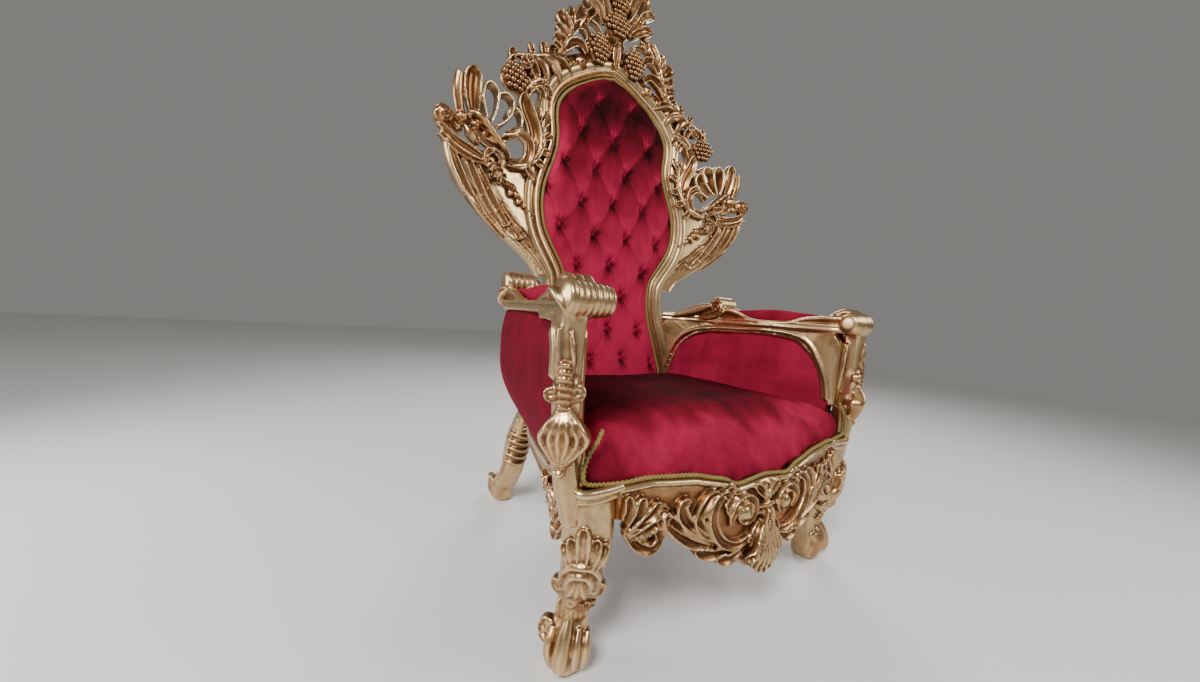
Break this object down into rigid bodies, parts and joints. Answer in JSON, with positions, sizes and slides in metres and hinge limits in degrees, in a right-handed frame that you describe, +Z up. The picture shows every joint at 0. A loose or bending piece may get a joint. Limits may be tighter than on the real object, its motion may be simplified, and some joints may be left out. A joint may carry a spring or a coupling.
{
  "type": "throne",
  "caption": "High-back carved and gilded throne with cornucopia wings, scrolled arms, deep-buttoned velvet back and padded seat on four scroll-foot legs.",
  "frame": {"origin": "middle of the bounding box at floor height", "axes": "+Z up; the throne faces -Y; +X to the right as seen from the front"},
  "size_m": [1.2126, 0.9548, 1.9498],
  "materials": {
    "gilded_wood": "satin",
    "velvet": "matte",
    "gimp": "matte"
  },
  "bodies": {
    "root": {"back_frame": "gilded_wood", "crest": "gilded_wood", "wing_right": "gilded_wood", "wing_left": "gilded_wood", "arm_frame_right": "gilded_wood", "arm_frame_left": "gilded_wood", "front_rail": "gilded_wood", "side_rail_right": "gilded_wood", "side_rail_left": "gilded_wood", "back_rail": "gilded_wood", "front_leg_right": "gilded_wood", "front_leg_left": "gilded_wood", "rear_leg_right": "gilded_wood", "rear_leg_left": "gilded_wood", "seat_cushion": "velvet", "back_pad": "velvet", "outside_back": "velvet", "inner_arm_pad_right": "velvet", "inner_arm_pad_left": "velvet", "outer_arm_panel_right": "velvet", "outer_arm_panel_left": "velvet", "arm_top_pad_right": "velvet", "arm_top_pad_left": "velvet", "back_gimp": "gimp", "seat_gimp": "gimp"}
  },
  "joints": []
}
